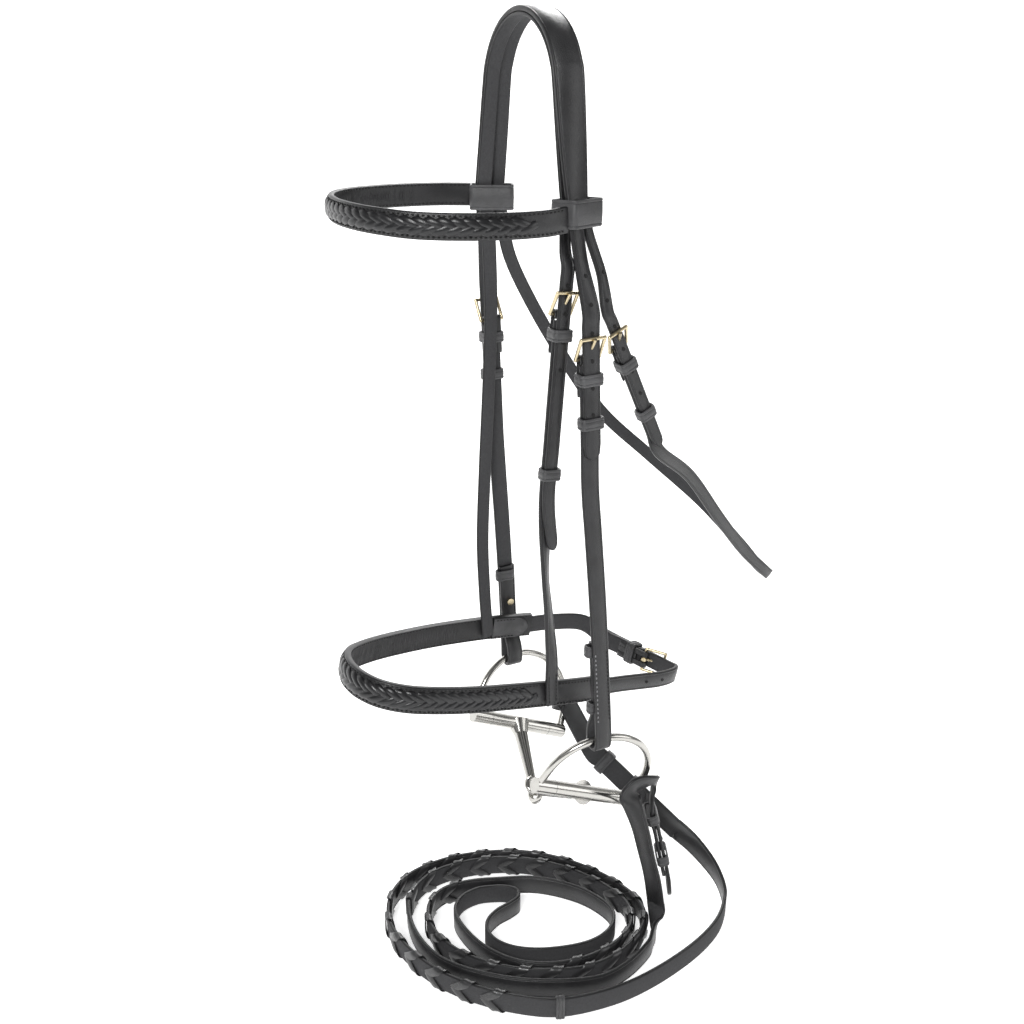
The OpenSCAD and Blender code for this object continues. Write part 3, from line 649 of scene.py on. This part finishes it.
far_floor = [
    (-44, 12), (-67, 13), (-85, 2), (-94, -19), (-92, -46), (-78, -74), (-54, -98), (-26, -114), (0, -122),
    (26, -121), (50, -112), (68, -98), (76, -82), (76, -62), (66, -31), (45, 2), (16, 28), (-18, 43),
    (-53, 49), (-87, 44), (-112, 25), (-124, -4), (-122, -37), (-111, -70), (-92, -99), (-67, -124),
    (-37, -143), (5, -151), (45, -149), (89, -139), (122, -125), (143, -108)]
far_rise = [
    [153, -94, -653, 0, 0, -1],
    [157, -74, -646, 0, -0.1, -1],
    [151, -50, -633, -0.1, -0.2, -0.95],
    [141, -32.7, -622.4, -0.2, -0.3, -0.9]
]
rein_route = near_drop + [[x, y, lie, 0, 0, -1] for x, y in near_floor + fold + inner + far_floor] + far_rise

SKIN = [GRAIN, EDGE, FLESH]


def piece(build, name, materials, slot_name, *nodes, body="straps"):
    """Makes the piece and replaces the CAD nodes that it stands for."""
    obj = build.make(name, materials, body)
    if nodes:
        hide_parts(*nodes)
    return obj


def edge_lines(w, o, inset=2.0):
    """Two stitching lines, one along each edge."""
    return [(w / 2 - inset, o), (inset - w / 2, o)]


# ---- headpiece and sliphead --------------------------------------------------------------------
HOLE_PITCH, FIRST_HOLE, TIP_CLEAR = 19.0, 30, 12


def billet_holes(run, f, count, build, out):
    """The row of holes each side of the one that the prong stands in."""
    middle = run.near(f[0])
    places = [middle + k * HOLE_PITCH for k in range(-count, 3)]
    shown = [s for s in places if FIRST_HOLE < s < run.length - TIP_CLEAR]
    holes(build, run, shown, out * (billet_t / 2 + 0.05))


# The second build gathers the punched holes' discs, coloured in painted shade
b, hole_shade = Build(), Build()
strap(b, head_route, head_w, head_t, -1, 8)
for side in (near, far):
    run = strap(b, cheek_billet_route(side), cheek_w - 1, billet_t, -side, 7, tip=True)
    billet_holes(run, cheek_frame(side), 3, hole_shade, -side)
run = strap(b, throat_billet_route, throat_w - 1, billet_t, 1, 7, tip=True)
billet_holes(run, throat_frame, 3, hole_shade, 1)
piece(b, "headpiece_leather", SKIN, "strap_leather", "headpiece")

b = Build()
strap(b, slip_route, slip_w, slip_t, -1, 8)
run = strap(b, slip_near_route, slip_w - 1, slip_t + 0.4, 1, 7, tip=True)
billet_holes(run, slip_frame, 3, hole_shade, 1)
strap(b, slip_far_route, slip_w, slip_t, -1, 8)
piece(b, "sliphead_leather", SKIN, "strap_leather", "sliphead")


# ---- buckle straps, keepers and runners ---------------------------------------------------------
# The fold round a hinge bar: outer radius, inner face's distance where it is straight, half the prong slot
FOLD_R, FOLD_INSIDE, SLOT_HALF = 3.3, 1.75, 2.3


def chape(build, f, w):
    """The strap end folded round the hinge bar and stitched down behind itself, with the prong slot."""
    c, x, o, z = frame_axes(f)
    turn = [(FOLD_R * math.sin(math.radians(a)), FOLD_R * math.cos(math.radians(a)))
            for a in range(90, -91, -15)]
    line = [(FOLD_R, -3.0), (FOLD_R, -1.0)] + turn
    line += [(-FOLD_R, -1.0), (-FOLD_R, -14), (-3.1, -25), (-2.2, -27)]
    inner = [(FOLD_INSIDE, -3.0), (FOLD_INSIDE, -1.0)] + [(q[0] * 0.5, q[1] * 0.5) for q in turn]
    inner += [(-FOLD_INSIDE, -1.0), (-1.8, -14), (-1.8, -25), (-1.9, -27)]
    for lo, hi in ((-w / 2, -SLOT_HALF), (SLOT_HALF, w / 2)):
        rings = [[c + px * x + a[0] * o + a[1] * z for px, a in
                  ((lo + 0.4, p), (hi - 0.4, p), (hi, ((p[0] + q[0]) / 2, (p[1] + q[1]) / 2)),
                   (hi - 0.4, q), (lo + 0.4, q), (lo, ((p[0] + q[0]) / 2, (p[1] + q[1]) / 2)))]
                 for p, q in zip(line, inner)]
        build.skin(rings, [0, 1, 2, 2, 1, 0])
    rings = [[c + px * x + a[0] * o + a[1] * z for px, a in
              ((-2.2, p), (2.2, p), (2.2, q), (-2.2, q))] for p, q in
             zip([(-FOLD_R, -7), (-3.1, -25), (-2.2, -27)], [(-1.8, -7), (-1.8, -25), (-1.9, -27)])]
    build.skin(rings, [0, 1, 2, 1])


def buckle_loops(name, f, w, runner_z=None):
    """The fixed keeper under a buckle and, where there is one, the sliding runner."""
    c, x, o, z = frame_axes(f)
    outside = billet + billet_t / 2
    b = Build()
    keeper(b, c - 14 * z, x, o, z, w + 0.8, -3.5, outside + 0.2)
    piece(b, name + "_keeper_leather", [WORN], "keeper_leather", name + "_keeper")
    if runner_z is not None:
        b = Build()
        keeper(b, c + runner_z * z, x, o, z, w + 0.8, under - strap_t / 2 - 0.5, outside + 0.5)
        piece(b, name + "_runner_leather", [WORN], "keeper_leather", name + "_runner", body=name + "_runner")


thread_pale, thread_dark = Build(), Build()
for side, name in ((near, "near"), (far, "far")):
    route = cheek_route(side)
    b = Build()
    run = strap(b, route, cheek_w, strap_t, -side, 6)
    chape(b, cheek_frame(side), cheek_w)
    piece(b, name + "_cheekpiece_leather", SKIN, "strap_leather", name + "_cheekpiece")
    low, high = run.near((26.2, side * 81.8, -390)), run.near((29.4, side * 83, -452))
    face = -side * (strap_t / 2 + 0.05)
    stitches(thread_pale, run, low, high, [(2 - cheek_w / 2, face)], PALE_STITCH)
    stitches(thread_dark, run, low, high, [(cheek_w / 2 - 2, face)], CHEEK_STITCH)
    stitches(thread_dark, run, 3, 26, edge_lines(cheek_w, face), FINE_STITCH)
    buckle_loops(name + "_cheek", cheek_frame(side), cheek_w, -45)
    # Two small loops hold the turned-up inner run against the outer one
    b = Build()
    for x0, y0, z0 in ((25.7, 80.0, -392), (28.7, 80.7, -441)):
        keeper(b, vec(x0 - 2.6, side * (y0 - 1.9), z0), vec(1, 0, 0), vec(0, side, 0), vec(0, 0, 1),
               cheek_w - 0.4, -2.9, 1.9, 9.0, 1.3)
    piece(b, name + "_bit_keepers_leather", [WORN], "keeper_leather", name + "_bit_keepers")

b = Build()
run = strap(b, nose_cheek_route, slip_w, strap_t, 1, 7)
chape(b, slip_frame, slip_w)
piece(b, "noseband_cheek_leather", SKIN, "strap_leather", "noseband_cheek")
lines = edge_lines(slip_w, strap_t / 2 + 0.05)
stitches(thread_dark, run, 3, 26, lines, FINE_STITCH)
stitches(thread_dark, run, run.length - 26, run.length - 2, lines, CLOSE_STITCH)
buckle_loops("noseband_cheek", slip_frame, slip_w, -112)

b = Build()
run = strap(b, throat_route, throat_w, strap_t - 0.2, -1, 7)
chape(b, throat_frame, throat_w)
piece(b, "throatlash_leather", SKIN, "strap_leather", "throatlash")
lines = edge_lines(throat_w, -strap_t / 2)
stitches(thread_dark, run, run.length - 26, run.length - 3, lines, FINE_STITCH)
buckle_loops("throatlash", throat_frame, throat_w, -56)


# ---- padded bands and their plaits --------------------------------------------------------------
# Spacing, depth and end fade of the wrinkles in a padded band's lining
WRINKLE, WRINKLE_DEPTH, WRINKLE_FADE = 2.5, 0.9, 25
STRAND_PITCH = 7.6


def band(build, run, w, t, first, last):
    """A padded band, its outer face at -N; the lining inside wrinkles between first and last."""
    half, deep = w / 2, t / 2
    rng = np.random.default_rng(7)
    strength = rng.uniform(0.45, 1.0, len(run.s))
    rings = []
    for i, s in enumerate(run.s):
        fade = max(0.0, min(1.0, (s - first) / WRINKLE_FADE, (last - s) / WRINKLE_FADE))
        crease = WRINKLE_DEPTH * fade * strength[i // 2] * (i % 2)
        rings.append([run.p[i] + a * run.w[i] + c * run.n[i] for a, c in (
            (-half, 0.2), (-half + 0.2, -deep + 0.5), (-half + 0.8, -deep), (-half + 3.0, -deep + 0.1),
            (-half + 3.8, -deep - 0.4), (0, -deep - 0.5), (half - 3.8, -deep - 0.4),
            (half - 3.0, -deep + 0.1),
            (half - 0.8, -deep), (half - 0.2, -deep + 0.5), (half, 0.2), (half - 0.7, deep - 0.1),
            (half - 2.6, deep - 0.1), (half - 3.8, deep + 0.4 - crease), (0, deep + 0.6 - crease),
            (-half + 3.8, deep + 0.4 - crease), (-half + 2.6, deep - 0.1), (-half + 0.7, deep - 0.1))])
    mats = [1, 1] + [0] * 6 + [1, 1, 1] + [2] * 6 + [1]
    build.skin([ring[::-1] for ring in rings], mats[::-1][1:] + mats[::-1][:1])


def herringbone(build, run, first, last, half, o, pitch):
    """Strands laid from each edge to the middle, each over the last, pointing to the run's start."""
    for k in range(int((last - first) / pitch)):
        for edge in (-1, 1):
            s = first + (k + (0.5 if edge > 0 else 0)) * pitch
            build.lace(run, [
                (s + 12.5, edge * half, -o + 0.9, edge * 0.8, -0.6),
                (s + 10.5, edge * half * 0.85, -o - 0.5, edge * 0.4, -1),
                (s + 6.5, edge * half * 0.5, -o - 1.3, edge * 0.15, -1),
                (s + 2.0, edge * half * 0.05, -o - 1.0, 0, -1),
                (s - 1.0, -edge * half * 0.2, -o + 0.1, -edge * 0.2, -1)], 2.5, 1.5, 3)


def plaited_band(name, rows, w, t, lining_from, lining_to, plait_from, plait_to, body):
    """A padded band with its plait and stitching; the lining's limits are shares of its length."""
    coarse = Run(rows, 10)
    run = resampled(coarse, np.linspace(0, coarse.length, int(coarse.length / (WRINKLE / 2))))
    plait_from, plait_to = run.near(plait_from), run.near(plait_to) - 8
    lining_from, lining_to = lining_from * run.length, lining_to * run.length
    b = Build()
    band(b, run, w, t, lining_from, lining_to)
    piece(b, name + "_leather", [GRAIN, EDGE, LINING], "strap_leather", name, body=body)
    b = Build()
    herringbone(b, run, plait_from, plait_to, w / 2 - 3.6, t / 2 + 0.6, STRAND_PITCH)
    piece(b, name + "_plait_strands", [PLAIT], "plaited_leather", name + "_plait", body=body)
    b = Build()
    for face in (-t / 2 - 0.1, t / 2 - 0.1):
        stitches(b, run, 4, run.length - 4, edge_lines(w, face, 1.9), BAND_STITCH)
    piece(b, name + "_thread", [DARK_THREAD], "strap_leather", body=body)


plaited_band("browband", brow_route, brow_w, 4, 0.42, 0.93,
             (-34, -80.6, -75.8), (-42, 79.6, -69.2), "browband")
plaited_band("noseband", nose_route, nose_w, 5, 0.4, 0.88,
             (-20, -61.6, -428.2), (-20, 59.2, -428.4), "straps")

for side, name in ((near, "near"), (far, "far")):
    turn = math.radians(-26 * side)
    x_dir = vec(math.cos(turn), math.sin(turn), 0)
    out_dir = side * vec(-math.sin(turn), math.cos(turn), 0)
    b = Build()
    keeper(b, vec(head_x, side * 66.4, -71.5) + 1.5 * x_dir, x_dir, out_dir, vec(0, 0, 1),
           29.8, -9.2, 8.3, 18, 1.7)
    piece(b, "browband_" + name + "_loop_leather", [WORN], "strap_leather",
          "browband_" + name + "_loop", body="browband")

b = Build()
patch_route = beside(with_width([(2, 61, -431.4), (18, 61.8, -433.8), (36, 62, -436.4)], nose_up), 3.3)
run = strap(b, patch_route, nose_w - 1.5, 1.6, 1, 7, tip=True)
piece(b, "noseband_patch", [WORN, EDGE, FLESH], "strap_leather")
stitches(thread_dark, run, 2, run.length - 13, edge_lines(nose_w - 1.5, 0.9), PATCH_STITCH)

b = Build()
run = strap(b, nose_near_route, rear_w - 1, billet_t, 1, 7, tip=True)
piece(b, "noseband_near_strap_leather", SKIN, "strap_leather", "noseband_near_strap")
middle = run.near(nose_frame[0])
holes(hole_shade, run, [middle - 53, middle - 71, middle + 19], billet_t / 2 + 0.05)
b = Build()
run = strap(b, nose_far_route, rear_w, strap_t, 1, 7)
chape(b, nose_frame, rear_w)
piece(b, "noseband_far_strap_leather", SKIN, "strap_leather", "noseband_far_strap")
stitches(thread_dark, run, 3, 26, edge_lines(rear_w, strap_t / 2 + 0.05), FINE_STITCH)
buckle_loops("noseband", nose_frame, rear_w)

piece(thread_pale, "pale_stitching", [THREAD], "strap_leather")
piece(thread_dark, "dark_stitching", [DARK_THREAD], "strap_leather")

# ---- rein ends ----------------------------------------------------------------------------------
b = Build()
run = strap(b, [[84.4, -90.3, -642.9, -0.31, 0.95, 0]] + near_end_route, rein_w, rein_t, 1, 7, tip=True,
            pinch=((89, -73, -532), 26, 0.5))
piece(b, "near_rein_end_leather", SKIN, "rein_leather", "near_rein_end")
holes(hole_shade, run, [run.length - 60, run.length - 40], rein_t / 2 + 0.05)
b = Build()
strap(b, near_chape_route, rein_w, rein_t, 1, 7, tip=True)
piece(b, "near_rein_chape_leather", SKIN, "rein_leather", "near_rein_chape")
b = Build()
strap(b, far_end_route, rein_w, rein_t, -1, 7, tip=True)
piece(b, "far_rein_end_leather", SKIN, "rein_leather", "far_rein_end")
# The hole discs, in near-black painted shade
piece(hole_shade, "punched_hole_shade", [HOLE_SHADE], "strap_leather")


def rein_loop(name, rows, i, k, width, body):
    """A loop round a rein and the layer beside it."""
    first, last = vec(*rows[i][:3]), vec(*rows[i + 1][:3])
    t = unit(last - first)
    w = unit(vec(*width) - np.dot(vec(*width), t) * t)
    n = np.cross(t, w)
    b = Build()
    keeper(b, first + k * (last - first) - (rein_t / 2 + 0.15) * n, w, n, t, rein_w + 1,
           -rein_t - 0.75, rein_t + 0.75, 9.0, 1.5)
    piece(b, name + "_leather", [WORN], "keeper_leather", name, body=body)


rein_loop("near_rein_keeper", near_end_route, 11, 0.25, (0.44, 0.9, 0), "straps")
rein_loop("near_rein_runner", near_end_route, 13, 0.8, (0.44, 0.9, 0), "near_rein_runner")
rein_loop("far_rein_keeper", far_main_route, 2, 0.7, (0.3, 0.22, 0.93), "straps")
rein_loop("far_rein_runner", far_main_route, 1, 0.45, (0.3, 0.22, 0.93), "far_rein_runner")

# ---- the reins, one strap from the near end to the far one ----------------------------------------
b = Build()
rein = strap(b, rein_route, rein_w, rein_t, 1, 5)
reins = piece(b, "reins_leather", SKIN, "rein_leather", "near_rein", "far_rein", "rein_coil")


def lacing(build, run, first, last, face, lean, pitch=26.0):
    """A narrow strip wound both ways: it makes a V on each face and folds over the edges."""
    half, high = rein_w / 2, rein_t / 2
    for k in range(int((last - first) / pitch)):
        apex = first + (k + 0.5) * pitch
        for edge in (-1, 1):
            build.lace(run, [
                (apex - lean * 1.5, -edge * 1.2, face * (high + 0.5), 0, face),
                (apex + lean * 4, edge * 3.5, face * (high + 1.1), 0, face),
                (apex + lean * 9, edge * (half - 1.2), face * (high + 1.0), edge * 0.3, face),
                (apex + lean * 12, edge * (half + 0.7), 0, edge, 0),
                (apex + lean * 14.5, edge * (half - 1.2), -face * (high + 0.9), edge * 0.3, -face),
                (apex + lean * 20, edge * 3.5, -face * (high + 1.0), 0, -face),
                (apex + lean * 25, -edge * 1.2, -face * (high + 0.5), 0, -face)], 3.6, 1.3, 4)


def station(x, y):
    """Distance along the reins to a place on the floor."""
    return rein.near((x, y, lie))


b = Build()
near_stop, near_last = station(-98, 16), station(-31, -104)
far_first, far_stop = station(-20, 4), station(-37, -143)
lacing(b, rein, near_stop + 10, near_last, 1, -1)
lacing(b, rein, far_first + 14, far_stop - 22, -1, 1)
rein_lacing = piece(b, "rein_lacing", [LACE], "rein_leather")
b = Build()
for s in (near_stop, far_stop):
    p, t, w, n = rein.frame(s)
    keeper(b, p, w, n, t, rein_w + 0.5, -rein_t / 2 - 0.2, rein_t / 2 + 0.2, 6.5, 1.4)
rein_stops = piece(b, "rein_stops", [WORN], "rein_leather")

# ---- metal, on the frame's own nodes --------------------------------------------------------------
for node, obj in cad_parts.items():
    shown = None
    if node.endswith(("_buckle", "_prong", "_stud")):
        shown = BRASS
    elif node.endswith(("_ring", "_cannon")):
        shown = STEEL
    if shown:
        for slot in obj.material_slots:
            slot.link = "OBJECT"
            slot.material = shown

# ---- floor, backdrop and light ------------------------------------------------------------------
FLOOR_Z = -0.6668
WALL_Y, WALL_TOP, SPAN, SWEEP_R, FRONT_Y = 1.6, 2.4, 3.0, 0.8, -2.6
PAPER_GLOW, SKY_STRENGTH, SKY_SEEN = 0.62, 0.55, 1.7


def sweep_point(a):
    """A point of the curve from floor to wall, at a degrees."""
    a = math.radians(a)
    return WALL_Y - SWEEP_R + SWEEP_R * math.sin(a), SWEEP_R - SWEEP_R * math.cos(a)


profile = [(FRONT_Y, 0.0)] + [sweep_point(a) for a in range(0, 91, 10)] + [(WALL_Y, WALL_TOP)]
paper = bpy.data.meshes.new("paper")
paper.from_pydata([(x, y, FLOOR_Z + z) for y, z in profile for x in (-SPAN, SPAN)], [],
                  [(2 * i, 2 * i + 1, 2 * i + 3, 2 * i + 2) for i in range(len(profile) - 1)])
paper.polygons.foreach_set("use_smooth", [True] * len(paper.polygons))
backdrop = bpy.data.objects.new("backdrop", paper)
bpy.context.collection.objects.link(backdrop)
PAPER, nodes, links, surface = new_material("pale_paper")
surface.inputs["Base Color"].default_value = (0.93, 0.93, 0.93, 1)
surface.inputs["Roughness"].default_value = 0.9
surface.inputs["Emission Color"].default_value = (1, 1, 1, 1)
surface.inputs["Emission Strength"].default_value = PAPER_GLOW
paper.materials.append(PAPER)


def area_light(name, place, target, size, power):
    """A round soft light that faces its target."""
    data = bpy.data.lights.new(name, "AREA")
    data.shape = "DISK"
    data.size, data.energy = size, power
    lamp = bpy.data.objects.new(name, data)
    bpy.context.collection.objects.link(lamp)
    lamp.location = place
    lamp.rotation_euler = (Vector(target) - Vector(place)).to_track_quat("-Z", "Y").to_euler()


MIDDLE = (0.0, 0.0, -0.3)
area_light("key", (-1.3, -1.5, 1.1), MIDDLE, size=0.9, power=40)
area_light("fill", (1.5, -1.2, 0.4), MIDDLE, size=1.4, power=9)
area_light("rim", (0.9, 1.2, 1.0), MIDDLE, size=0.7, power=16)
world = bpy.data.worlds.new("studio")
world.use_nodes = True
sky = world.node_tree.nodes["Background"]
direction = world.node_tree.nodes.new("ShaderNodeTexCoord")
bands = world.node_tree.nodes.new("ShaderNodeTexWave")
bands.inputs["Scale"].default_value = 0.55
bands.inputs["Distortion"].default_value = 1.5
tones = world.node_tree.nodes.new("ShaderNodeValToRGB")
tones.color_ramp.elements[0].color = (0.02, 0.02, 0.02, 1)
tones.color_ramp.elements[1].color = (0.75, 0.75, 0.75, 1)
world.node_tree.links.new(direction.outputs["Generated"], bands.inputs["Vector"])
world.node_tree.links.new(bands.outputs["Fac"], tones.inputs["Fac"])
rays = world.node_tree.nodes.new("ShaderNodeLightPath")
seen = world.node_tree.nodes.new("ShaderNodeMix")
seen.data_type = "RGBA"
seen.inputs["B"].default_value = (SKY_SEEN, SKY_SEEN, SKY_SEEN, 1)
world.node_tree.links.new(rays.outputs["Is Camera Ray"], seen.inputs["Factor"])
world.node_tree.links.new(tones.outputs["Color"], seen.inputs["A"])
world.node_tree.links.new(seen.outputs["Result"], sky.inputs["Color"])
sky.inputs["Strength"].default_value = SKY_STRENGTH
bpy.context.scene.world = world
bpy.context.scene.view_settings.view_transform = "Standard"
